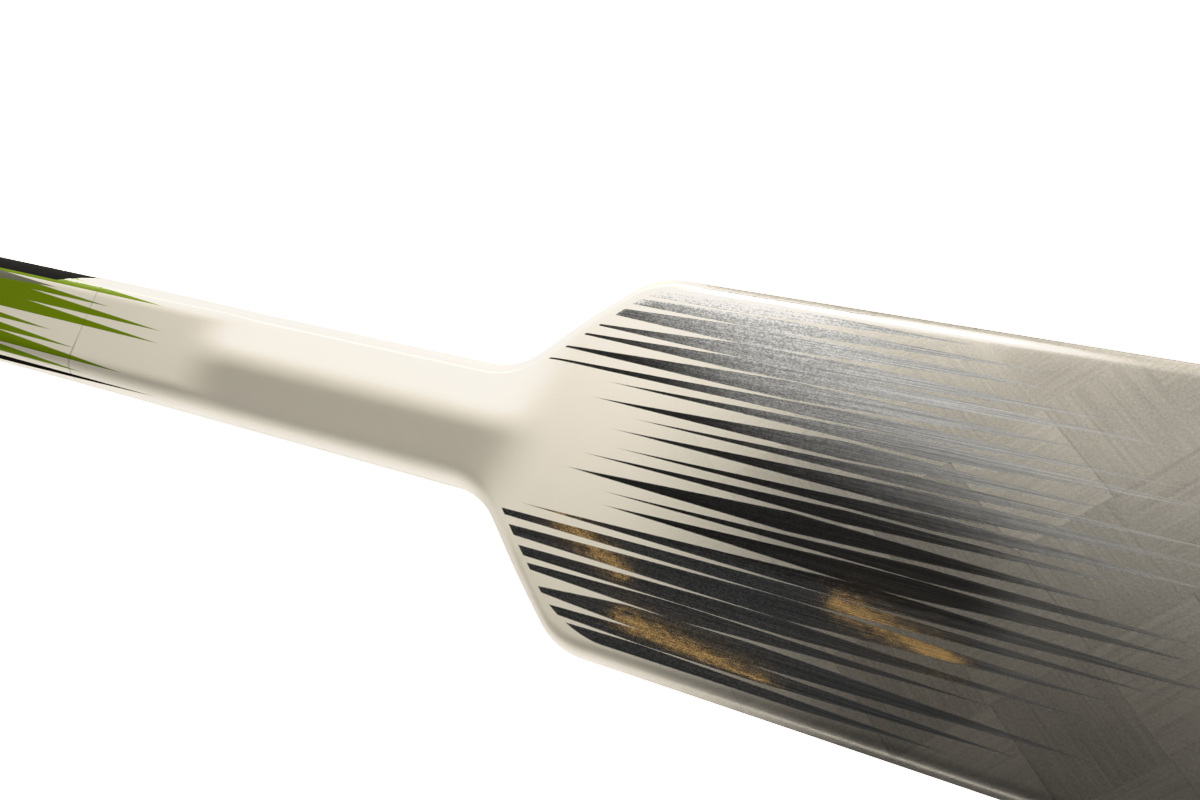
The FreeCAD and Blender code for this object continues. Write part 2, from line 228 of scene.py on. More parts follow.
class Shader:
    """The node tree of one material or world."""

    def __init__(self, owner):
        owner.use_nodes = True
        self.tree = owner.node_tree
        self.tree.nodes.clear()

    def node(self, kind, settings=None, inputs=None, output=0):
        """Adds a node, sets its settings and then its sockets, and gives one of its outputs."""
        node = self.tree.nodes.new("ShaderNode" + kind)
        for name, value in (settings or {}).items():
            setattr(node, name, value)
        for name, value in (inputs or {}).items():
            if isinstance(value, Signal):
                self.tree.links.new(value.socket, node.inputs[name])
            else:
                node.inputs[name].default_value = value
        return Signal(self, node.outputs[output]) if node.outputs else None

    def place(self):
        """Where a point of the surface is, in the stick's own frame."""
        return self.node("TexCoord", output="Object")

    def split(self, vector):
        """The three parts of a vector."""
        first = self.node("SeparateXYZ", inputs={0: vector})
        return [Signal(self, socket) for socket in first.socket.node.outputs]

    def millimetres(self):
        """The three parts of a point's place, in millimetres."""
        return [part * (1.0 / MM) for part in self.split(self.place())]

    def joined(self, x, y, z):
        """A vector of three values."""
        return self.node("CombineXYZ", inputs={0: x, 1: y, 2: z})

    def mix(self, share, first, second):
        """One colour giving way to another."""
        return self.node("Mix", {"data_type": "RGBA"}, {0: share, 6: first, 7: second}, output=2)

    def shade(self, tint, amount):
        """A colour made lighter or darker by a value around 1."""
        grey = self.joined(amount, amount, amount)
        settings = {"data_type": "RGBA", "blend_type": "MULTIPLY"}
        return self.node("Mix", settings, {0: 1.0, 6: tint, 7: grey}, output=2)

    def noise(self, place, scale, detail, roughness):
        """Soft cloudy noise from 0 to 1."""
        inputs = {"Vector": place, "Scale": scale, "Detail": detail, "Roughness": roughness}
        return self.node("TexNoise", inputs=inputs)

    def stretched(self, x, y, z, detail, roughness):
        """Noise that is stretched by giving each direction a scale of its own."""
        return self.noise(self.joined(x, y, z), 1.0, detail, roughness)

    def finish(self, surface, bump=None, bump_depth=MM):
        """Joins the surface's sockets to the output, with the bump in its normal."""
        if bump is not None:
            inputs = {"Strength": 1.0, "Distance": bump_depth, "Height": bump}
            surface["Normal"] = self.node("Bump", inputs=inputs)
        principled = self.node("BsdfPrincipled", inputs=surface)
        self.node("OutputMaterial", inputs={"Surface": principled})


# Finishes

WHITE = (1.0, 1.0, 1.0, 1.0)
BLACK = (0.0, 0.0, 0.0, 1.0)

# How strong the light is that is shown as white
WHITE_POINT = 2.4


def fibre_field(shader, x, y):
    """Shade of spread fibre tows laid on the diagonal, around 1, with x and y in millimetres."""
    tow = 20.0
    u, v = (x + y) / math.sqrt(2.0), (x - y) / math.sqrt(2.0)
    row, column = (u / tow).floor(), (v / tow).floor()
    turn = ((row + column) * 0.5).fraction() * 2.0
    across = u + (v - u) * turn
    along = v + (u - v) * turn
    patch = (row * 17.0 + column * 3.0).chance()
    strands = shader.stretched(along * 0.04, across * 1.3, row + column, 3.0, 0.6)
    grain = shader.noise(shader.joined(x, y, 0.0), 1.9, 2.0, 0.8)
    selvedge = 1.0 - (across / tow).fraction().between(0.0, 0.04)
    cloud = shader.noise(shader.joined(x, y, 4.0), 0.07, 2.0, 0.6)
    weave = patch * 0.20 + turn * 0.10 + strands * 0.52 - selvedge * 0.15
    return 0.11 + weave + grain * 0.70 + cloud * 0.36


def needles(along, across, pitch, seed, tips, taper, lean):
    """Streaks that point up the along axis: 1 inside a streak. Tips lie at random in a range."""
    lane = (across / pitch).floor()
    tip = (lane + seed).chance().spread(*tips)
    cover = (tip - along) / taper
    spot = (across / pitch).fraction()
    centred = abs(spot * 2.0 - 1.0)
    edge = centred + (spot - centred) * lean
    return (cover - edge).edged(0.03)


def within(inward_end, inward_side, radius):
    """Depth inside a corner that is rounded, from the depths inside its two edges."""
    end_gap = (radius - inward_end).most(0.0)
    side_gap = (radius - inward_side).most(0.0)
    return radius - (end_gap * end_gap + side_gap * side_gap).root()


def paddle_foil(x, y):
    """Where the paddle's face has foil, with places in millimetres."""
    pitch, shoulder_gap, blunt_from, margin_width = 3.4, 8.5, 18.0, 38.0
    lanes = (y + (y * 0.7).sine() * 0.4) / pitch
    lane = lanes.floor()
    spot = abs(lanes.fraction() * 2.0 - 1.0)
    middle = (lane + 0.5) * pitch
    side = abs(middle)
    past_shoulder = x - (abs(y) - shoulder_gap)

    def drawn(seed, low, high):
        """A random value for each lane."""
        return (lane + seed).chance().spread(low, high)

    # Streaks below the shoulders start blunt at the white border, and those in the middle start sharp
    first_cover = drawn(5.3, 0.25, 0.72) * (1.0 - (middle > 0.0) * 0.65)
    first_cover = first_cover + (middle - 28.0).most(0.0) * 0.05
    run = drawn(6.1, 14.0, 28.0) + (30.0 - side).most(0.0) * 4.0
    blunt = first_cover + past_shoulder / run * (1.0 - first_cover)
    tip = drawn(9.7, 22.0, 38.0) - (side - 10.0).most(0.0) * 2.0
    sharp = (x - tip) / drawn(1.7, 48.0, 72.0)
    growing = sharp + (blunt - sharp) * (side > blunt_from)
    far_tip = drawn(2.1, 122.0, 156.0) - (side - blunt_from).most(0.0) * 1.7
    fading = (far_tip - x) / drawn(8.8, 46.0, 62.0)
    margin = 39.6 - abs(y) + (y > 0.0) * 2.2
    inside = within(past_shoulder * 0.72, margin, 7.0).edged(0.1)
    thinning_start = 104.0 - y.between(2.0, 12.0) * 12.0
    thinning = 1.0 - (x - thinning_start).between(0.0, 48.0) * 0.52
    upper = (growing.least(fading) - spot).edged(0.05) * inside * thinning

    # A second group of streaks crosses the lower paddle
    rise = (x - drawn(3.9, 372.0, 420.0)) / 40.0
    fall = (drawn(7.7, 468.0, 520.0) - x) / 50.0
    lower = (rise.least(fall) - spot).edged(0.05) * (side < margin_width)
    return upper.most(lower)


def shaft_streaks(x, y, z):
    """Shares of lime, black and grey on the shaft, with places in millimetres."""
    pitch, crisp = 3.5, 0.15
    across = y + z * 0.35
    leaning = x - (across - 7.0) * 0.7
    lime = needles(leaning, across, pitch, 1.3, (-142.0, -104.0), 56.0, 1.0) * (y > -13.2)
    skew = y + 7.2 + (z - 20.5) * 0.9
    black = needles(x, skew + 1.2, pitch, 4.4, (-320.0, -252.0), 70.0, 1.0)

    # Black along the toe side's edge, cut off on the slant
    over_edge = y - 11.2
    cap_end = -151.0 + over_edge * 3.0
    cap = over_edge.between(0.0, 0.12, smooth=False) * (cap_end - x).between(0.0, 0.3)

    # A black line on the heel side that narrows to a point
    pin_edge, pin_tip = 18.0, -96.0
    pin_low = pin_edge + (x - pin_tip) * 0.032
    pin = (pin_edge - z).between(0.0, crisp) * (z - pin_low).between(0.0, crisp)
    pin = pin * (y < 0.0) * (x < pin_tip)

    # A grey wedge between the black edge and the lime
    wedge_middle, wedge_tip, wedge_start = 9.0, -147.5, -320.0
    wedge_low = wedge_middle + (x - wedge_tip) * 0.035
    wedge_high = wedge_middle - (x - wedge_tip) * 0.06
    wedge = (y - wedge_low).between(0.0, crisp) * (wedge_high - y).between(0.0, crisp)
    return lime, black.most(cap).most(pin), wedge * (x - wedge_start).between(0.0, 9.0)


def lacquer(shader):
    """Fine waviness and soft clouding of the lacquer."""
    place = shader.place()
    return shader.noise(place, 420.0, 1.0, 0.4), shader.noise(place, 38.0, 2.0, 0.5)


def brushing(shader, along, across, out):
    """Fine lines of the foil, along the streaks."""
    return shader.stretched(along * 0.035, across * 5.0, out * 5.0, 3.0, 0.65)


def painted_laminate(shader, tint):
    """White gel coat under a clear coat, with lime and black streaks, foil and a grey fibre field."""
    x, y, z = shader.millimetres()
    foil = paddle_foil(x, y)
    field = x.between(28.0, 96.0) * (1.0 - x.between(400.0, 470.0))
    toe_side = (y - 41.2).between(0.0, 0.5) * x.between(31.0, 45.0) * x.between(430.0, 390.0)
    grey = field.most(toe_side)
    on_shaft = x < -80.0
    lime, black, ash = (share * on_shaft for share in shaft_streaks(x, y, z))

    fibre = fibre_field(shader, x, y)
    brushed = brushing(shader, x, y, z)
    crinkle = shader.stretched(x * 1.6, y * 2.2, z * 2.2, 2.0, 0.6) - 0.5
    peel, cloud = lacquer(shader)
    fleck = shader.noise(shader.place(), 2600.0, 2.0, 0.7)
    seam = abs(x - SHAFT_HIGH.x / MM).between(0.55, 0.1) * cloud.between(0.35, 0.6)
    speckle = shader.stretched(x * 2.0, y * 3.2, z * 3.2, 1.0, 0.5).between(0.36, 0.64) - 0.5
    speckled = 1.0 + speckle * (0.55 - x.between(58.0, 98.0) * 0.43)
    # Painted shade: a band of the foil over the middle of the paddle is made darker, standing in for a
    # dimmer reflection there. The brushed lines and speckle are the foil's own grain.
    foil_painted_shade = 1.0 - x.between(62.0, 112.0) * y.between(-2.0, 10.0) * 0.28
    foil_grain_and_painted_shade = brushed.between(0.3, 0.7).spread(0.6, 1.25) * speckled * foil_painted_shade

    white = shader.shade(tint["gel_coat"], 0.93 + cloud * 0.05 + fleck * 0.08 - seam * 0.34)
    base = shader.mix(grey, white, shader.shade(tint["graphite"], fibre))
    base = shader.mix(foil, base, shader.shade(tint["foil"], foil_grain_and_painted_shade))
    base = shader.mix(lime, base, shader.shade(tint["lime"], 0.94 + cloud * 0.12))
    base = shader.mix(ash, base, tint["ash"])
    base = shader.mix(black, base, tint["black"])

    plain = 0.34 - grey * 0.02 + black * 0.66
    relief = foil * (crinkle * 0.0016 + brushed * 0.0004) + (1.0 - foil) * grey * (fibre - 1.0) * 0.020
    shader.finish(
        {
            "Base Color": base,
            "Roughness": plain + (brushed.spread(0.05, 0.10) - plain) * foil,
            "Metallic": (grey * 0.92).most(foil),
            "Coat Weight": (0.45 - on_shaft * 0.15) * (1.0 - black),
            "Coat Roughness": 0.07,
            "Specular IOR Level": 0.1,
        },
        peel * 0.010 + relief,
    )


def blade_laminate(shader, tint):
    """White gel coat of the blade, with a fine gripping texture and foil streaks at the toe."""
    size = sizes()
    x, y, z = shader.millimetres()
    turn = math.pi - size.lie_angle
    from_heel = x - size.paddle_length / MM
    off_heel = y + size.paddle_width / 2 / MM
    along = from_heel * math.cos(turn) + off_heel * math.sin(turn)
    up = off_heel * math.cos(turn) - from_heel * math.sin(turn)

    foil = needles(-along, up, 4.5, 6.6, (-330.0, -255.0), 62.0, 0.0)
    toward_toe = needles(along, up + 1.1, 3.7, 2.2, (35.0, 95.0), 60.0, 1.0)
    toward_heel = needles(-along, up + 1.1, 3.7, 8.1, (10.0, 45.0), 36.0, 1.0)
    lime = toward_toe * toward_heel * (up < 60.0)
    brushed = brushing(shader, along, up, z)
    peel, cloud = lacquer(shader)
    grip = shader.node("TexVoronoi", {"feature": "F1"}, {"Vector": shader.place(), "Scale": 620.0})

    base = shader.shade(tint["gel_coat"], 0.97 + cloud * 0.05)
    base = shader.mix(lime, base, tint["lime"])
    base = shader.mix(foil, base, shader.shade(tint["foil"], 0.55 + brushed * 0.9))
    shader.finish(
        {
            "Base Color": base,
            "Roughness": 0.36 + foil * brushed.spread(-0.16, 0.02),
            "Metallic": foil,
            "Coat Weight": 0.45,
            "Coat Roughness": 0.10,
        },
        peel * 0.010 + grip * 0.05 + foil * brushed * 0.02,
    )


def moulded_rubber(shader, tint):
    """Black moulded rubber with a fine spark-eroded texture."""
    texture = shader.noise(shader.place(), 1500.0, 3.0, 0.7)
    wear = shader.noise(shader.place(), 160.0, 2.0, 0.5)
    base = shader.shade(tint["rubber"], 0.8 + wear * 0.5)
    shader.finish({"Base Color": base, "Roughness": 0.55 + texture * 0.25}, texture, 0.06 * MM)


def foam_cells(shader, tint):
    """Closed-cell foam: fine cells, with a few larger voids cut open."""
    place = shader.place()
    cells = shader.node("TexVoronoi", {"feature": "DISTANCE_TO_EDGE"}, {"Vector": place, "Scale": 900.0})
    voids = shader.noise(place, 220.0, 2.0, 0.6)
    walls = cells.between(0.0, 0.12)
    base = shader.shade(tint["foam"], 0.78 + walls * 0.16 + voids * 0.12)
    shader.finish({"Base Color": base, "Roughness": 0.92 - walls * 0.08}, walls, 0.15 * MM)


def carbon_weave(shader, tint):
    """Bare carbon laminate in a plain weave."""
    x, y, z = shader.millimetres()
    strand = 2.0
    warp, weft = x / strand, (y + z) / strand
    turn = ((warp.floor() + weft.floor()) * 0.5).fraction() * 2.0
    crown = (weft.fraction() * (1.0 - turn) + warp.fraction() * turn) * math.pi
    fibre = shader.stretched(x * 4.0, y * 4.0, z * 4.0, 2.0, 0.6)
    base = shader.shade(tint["carbon"], 0.7 + turn * 0.5 + fibre * 0.4)
    surface = {"Base Color": base, "Roughness": 0.38 + fibre * 0.15, "Coat Weight": 0.3}
    shader.finish(surface, crown.sine(), 0.12 * MM)


def wood_layers(shader, tint):
    """Thin glued layers of pale hardwood, with pores along the grain."""
    x, y, z = shader.millimetres()
    layers = y / 3.2
    layer = layers.floor()
    glue = abs(layers.fraction() * 2.0 - 1.0).between(0.93, 0.99)
    rings = shader.stretched(x * 0.02, y * 0.6 + layer * 9.1, z * 0.6, 4.0, 0.6)
    pores = shader.stretched(x * 0.12, y * 3.0, z * 3.0, 2.0, 0.6)
    tone = 0.82 + layer.chance() * 0.2 + rings * 0.28 - glue * 0.35
    base = shader.shade(tint["wood"], tone)
    shader.finish({"Base Color": base, "Roughness": 0.62 + pores * 0.2}, pores, 0.1 * MM)


def studio_floor(shader, tint):
    """Matt white floor paint that glows, as a lit sweep does."""
    mottle = shader.noise(shader.place(), 6.0, 3.0, 0.5)
    shader.finish(
        {
            "Base Color": shader.shade(tint["floor"], 0.985 + mottle * 0.03),
            "Roughness": 0.8,
            "Emission Color": WHITE,
            "Emission Strength": WHITE_POINT,
        }
    )


def glowing(shader, tint, glow):
    """A black sheet that glows in a tint."""
    lit = shader.shade(tint, glow)
    shader.finish({"Base Color": BLACK, "Emission Color": lit, "Emission Strength": 1.0})


def studio_card(shader, tint):
    """Pale card on the floor, fading out along the paddle, to be seen in the lower rim."""
    x = shader.split(shader.place())[0]
    glowing(shader, tint["card"], x.between(0.11, 0.02) * 0.6)


def studio_wall(shader, tint):
    """Card and wall behind the stick, brighter toward the blade, to be seen in the upper rim."""
    x, y = shader.split(shader.place())[:2]
    glowing(shader, tint["card"], (x - y * 0.27).between(0.06, 0.15).spread(0.3, 1.3))


def studio_panel(shader, tint):
    """Light panel that grows brighter on the slant, from the near side to the far side."""
    x, y = shader.split(shader.place())[:2]
    reach = y + x * 0.25 + x.least(0.0) * 0.25
    far = y.between(0.165, 0.240) * (1.3 - x.between(-0.03, 0.09) * 1.2)
    band = y.between(0.37, 0.42) * (1.7 - x.between(0.0, 0.28) * 1.5)
    ends = x.between(-0.30, -0.14) * x.between(0.52, 0.34)
    glowing(shader, tint["panel"], (reach.between(0.075, 0.185) * 0.73 + far + band) * ends)


def finish(maker):
    """The material that a maker paints, made once."""
    material = bpy.data.materials.get(maker.__name__)
    if material is None:
        material = bpy.data.materials.new(maker.__name__)
        maker(Shader(material), colours())
    return material


# Shapes

def smooth_step(x, start, end):
    """Rises from 0 at start to 1 at end with no kink at either."""
    share = min(1.0, max(0.0, (x - start) / (end - start)))
    return share ** 3 * (share * (6 * share - 15) + 10)


def half_width(x, inset):
    """Half the stick's width at a station, moved in from the outline by inset."""
    size = sizes()
    half_shaft, half_paddle = size.shaft_width / 2, size.paddle_width / 2
    angle = math.atan2(half_paddle - half_shaft, size.shoulder_length)
    throat_x = -size.throat_radius * math.tan(angle / 2)
    shoulder_x = size.shoulder_length + size.shoulder_radius * math.tan(angle / 2)
    throat, shoulder = size.throat_radius + inset, size.shoulder_radius - inset
    if x <= throat_x:
        return half_shaft - inset
    if x <= throat_x + throat * math.sin(angle):
        return half_shaft + size.throat_radius - math.sqrt(throat ** 2 - (x - throat_x) ** 2)
    if x <= shoulder_x - shoulder * math.sin(angle):
        return half_shaft + x * math.tan(angle) - inset / math.cos(angle)
    if x <= shoulder_x:
        return half_paddle - size.shoulder_radius + math.sqrt(shoulder ** 2 - (x - shoulder_x) ** 2)
    return half_paddle - inset


def edge_radius(x):
    """Rounding of the long edges at a station."""
    size = sizes()
    change = smooth_step(x, 0.0, size.shoulder_length)
    return size.shaft_edge + (size.paddle_edge - size.shaft_edge) * change


def line(start, end, steps):
    """Points from start up to, and not including, end."""
    return [start + (end - start) * (i / steps) for i in range(steps)]


def rounding(before, corner, after, radius):
    """Points along the arc that rounds a corner, both ends included."""
    to_before, to_after = (before - corner).normalized(), (after - corner).normalized()
    half_angle = to_before.angle(to_after) / 2
    reach = radius / math.tan(half_angle)
    centre = corner + (to_before + to_after).normalized() * (radius / math.sin(half_angle))
    first, last = corner + to_before * reach - centre, corner + to_after * reach - centre
    sweep = first.angle(last)
    return [
        centre + (first * math.sin((1 - i / ARC_STEPS) * sweep) + last * math.sin(i / ARC_STEPS * sweep))
        / math.sin(sweep)
        for i in range(ARC_STEPS + 1)
    ]


def front_section(x, inset, bevel):
    """The front's section from one parting line to the other, as points across and out."""
    offset = sizes().ridge_offset
    heel_side = front_half(x, inset, bevel, -offset)
    return mirrored(heel_side)[:-1] + front_half(x, inset, bevel, offset)


def front_half(x, inset, bevel, offset):
    """Half of the front's section, from the ridge to the parting line."""
    size = sizes()
    facets = smooth_step(x, GRIP_START, GRIP_FULL_FROM) - smooth_step(x, GRIP_FULL_TO, GRIP_END)
    side = half_width(x, inset)
    level = size.thickness - size.facet_drop * facets - inset
    ridge = Vector((offset, size.thickness + size.ridge_rise * facets - inset))
    corner, opposite = Vector((side, level)), Vector((-side, level))
    slope = (corner - ridge).normalized() * size.ridge_softness
    other_slope = (opposite - ridge).normalized() * size.ridge_softness
    crest = []
    for i in range(CREST_STEPS):
        t = 0.5 + 0.5 * i / CREST_STEPS
        crest.append(ridge + other_slope * (1 - t) ** 2 + slope * t ** 2)
    return crest + to_parting(x, inset, bevel, ridge, ridge + slope, corner, 1)


def back_section(x, inset, bevel):
    """The back's section from one parting line to the other, as points across and out."""
    middle, corner = Vector((0.0, inset)), Vector((half_width(x, inset), inset))
    half = to_parting(x, inset, bevel, middle, middle, corner, -1)
    return mirrored(half)[:-1] + half


def to_parting(x, inset, bevel, before, start, corner, out):
    """Points from a start on the face, round the corner and along the wall to the bevelled parting line."""
    foot = Vector((corner.x, sizes().thickness / 2))
    arc = rounding(before, corner, foot, edge_radius(x) - inset)
    last = foot + Vector((0.0, out * bevel))
    points = line(start, arc[0], FACE_STEPS) + arc + line(arc[-1], last, WALL_STEPS)[1:] + [last]
    return points + [foot - Vector((bevel, 0.0))] if bevel else points


def mirrored(half):
    """Half of a section turned over to the other side, from its outer end to the middle."""
    return [Vector((-p.x, p.y)) for p in reversed(half)]


def add_object(name, data):
    """An object in the scene that shows the data."""
    thing = bpy.data.objects.new(name, data)
    bpy.context.scene.collection.objects.link(thing)
    return thing


def add_piece(name, points, faces, material, node):
    """Makes a mesh piece with the given finish that stands for a node, and hides the node."""
    mesh = bpy.data.meshes.new(name)
    mesh.from_pydata([tuple(p) for p in points], [], faces)
    mesh.validate()
    mesh.polygons.foreach_set("use_smooth", [True] * len(mesh.polygons))
    mesh.set_sharp_from_angle(angle=SHARP_ANGLE)
    mesh.materials.append(material)
    piece = add_object(name, mesh)
    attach(piece, BODY)
    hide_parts(node)


def grid_faces(rows, columns, start, flipped, closed=False):
    """Quads of a grid of points stored row by row."""
    faces = []
    for row in range(rows - 1):
        for column in range(columns if closed else columns - 1):
            a = start + row * columns + column
            b = start + row * columns + (column + 1) % columns
            quad = (a, b, b + columns, a + columns)
            faces.append(quad[::-1] if flipped else quad)
    return faces


def strip_faces(first, second, flipped):
    """Quads between two chains of points."""
    quads = [(first[i], first[i + 1], second[i + 1], second[i]) for i in range(len(first) - 1)]
    return [quad[::-1] for quad in quads] if flipped else quads


def shell(sections, flipped):
    """A closed shell from pairs of outer and inner sections along the stick."""
    rows, columns = len(sections), len(sections[0][0])
    points = [p for outer, _ in sections for p in outer] + [p for _, inner in sections for p in inner]
    inner = rows * columns
    faces = grid_faces(rows, columns, 0, flipped) + grid_faces(rows, columns, inner, not flipped)
    low, high = range(0, inner, columns), range(columns - 1, inner, columns)
    first, last = range(columns), range(inner - columns, inner)
    for chain, turned in ((low, flipped), (high, not flipped), (first, not flipped), (last, flipped)):
        faces += strip_faces(chain, [i + inner for i in chain], turned)
    return points, faces


def stations():
    """Where the paddle's sections are cut, closest where the form changes most."""
    seam, end, bevel = SHAFT_HIGH.x, PADDLE_HIGH.x, sizes().joint_bevel
    places = (seam, GRIP_START, GRIP_FULL_FROM, THROAT_START, PLATE_START, end)
    xs = []
    for start, stop, count in zip(places, places[1:], PADDLE_SECTIONS):
        xs += [float(x) for x in np.linspace(start, stop, count, endpoint=False)]
    return [seam, seam + bevel] + xs[1:] + [end - bevel, end]


def paddle_sections(section):
    """Outer and inner sections of one half of the paddle, with its ends bevelled."""
    size = sizes()
    xs = stations()
    sections = []
    for i, x in enumerate(xs):
        at_end = size.joint_bevel if i in (0, len(xs) - 1) else 0.0
        outer = section(x, at_end, size.joint_bevel)
        inner = section(x, size.skin, 0.0)
        inner = [inner[0]] + inner + [inner[-1]]
        sections.append(tuple([Vector((x, p.x, p.y)) for p in ring] for ring in (outer, inner)))
    return sections


def tube_ring(x, inset):
    """A whole section of the shaft."""
    size = sizes()
    side, low, high = size.shaft_width / 2 - inset, inset, size.thickness - inset
    radius = max(size.shaft_edge - inset, LEAST_RADIUS)
    corners = [Vector(c) for c in ((-side, low), (side, low), (side, high), (-side, high))]
    arcs = [rounding(corners[i - 1], corners[i], corners[(i + 1) % 4], radius) for i in range(4)]
    ring = []
    for arc, following in zip(arcs, arcs[1:] + arcs[:1]):
        ring += arc + line(arc[-1], following[0], FACE_STEPS)[1:]
    return [Vector((x, p.x, p.y)) for p in ring]


def tube(steps):
    """Points and faces of rings at places and insets along the shaft, and how many points a ring has."""
    rings = [tube_ring(x, inset) for x, inset in steps]
    count = len(rings[0])
    points = [p for ring in rings for p in ring]
    return points, grid_faces(len(rings), count, 0, False, closed=True), count


class STICK_OT_shaft(bpy.types.Operator):
    """Build the painted shaft tube"""

    bl_idname = "stick.shaft"
    bl_label = "Shaft"

    def execute(self, context):
        size = sizes()
        start, end, bevel = SHAFT_LOW.x, SHAFT_HIGH.x, size.joint_bevel
        steps = [(start, bevel), (start + bevel, 0.0)]
        steps += [(x, 0.0) for x in np.linspace(start, end, SHAFT_RINGS)[1:-1]]
        steps += [(end - bevel, 0.0), (end, bevel), (end, size.skin), (start, size.skin)]
        points, faces, count = tube(steps)
        last = len(points) - count
        for i in range(count):
            j = (i + 1) % count
            faces.append((last + i, last + j, j, i))
        add_piece("shaft", points, faces, finish(painted_laminate), "shaft_tube")
        return {"FINISHED"}


class STICK_OT_end_plug(bpy.types.Operator):
    """Build the end plug with its domed rim and dished end"""

    bl_idname = "stick.end_plug"
    bl_label = "End plug"

    def execute(self, context):
        size = sizes()
        far, mouth, end, bevel = PLUG_LOW.x, SHAFT_LOW.x, PLUG_HIGH.x, size.joint_bevel * 2
        dome, body = size.plug_dome, size.skin + PLUG_FIT
        steps = [(far + size.plug_recess * depth, inset) for depth, inset in PLUG_DISH]
        for i in reversed(range(ARC_STEPS + 1)):
            angle = i / ARC_STEPS * math.pi / 2
            steps.append((far + dome * (1 - math.sin(angle)), dome * (1 - math.cos(angle))))
        steps += [(mouth - bevel, 0.0), (mouth, bevel), (mouth, body)]
        steps += [(end - PLUG_LEAD_LENGTH, body), (end, body + PLUG_LEAD_INSET)]
        points, faces, count = tube(steps)
        faces.append(tuple(range(count))[::-1])
        faces.append(tuple(range(len(points) - count, len(points))))
        add_piece("end_plug", points, faces, finish(moulded_rubber), "butt_end_plug")
        return {"FINISHED"}


class STICK_OT_paddle(bpy.types.Operator):
    """Build the front and back shells of the grip, shoulders and paddle"""

    bl_idname = "stick.paddle"
    bl_label = "Paddle shells"

    def execute(self, context):
        for name, section, flipped in (("front", front_section, False), ("back", back_section, True)):
            points, faces = shell(paddle_sections(section), flipped)
            material = finish(painted_laminate)
            add_piece(f"paddle_{name}", points, faces, material, f"paddle_{name}_shell")
        return {"FINISHED"}


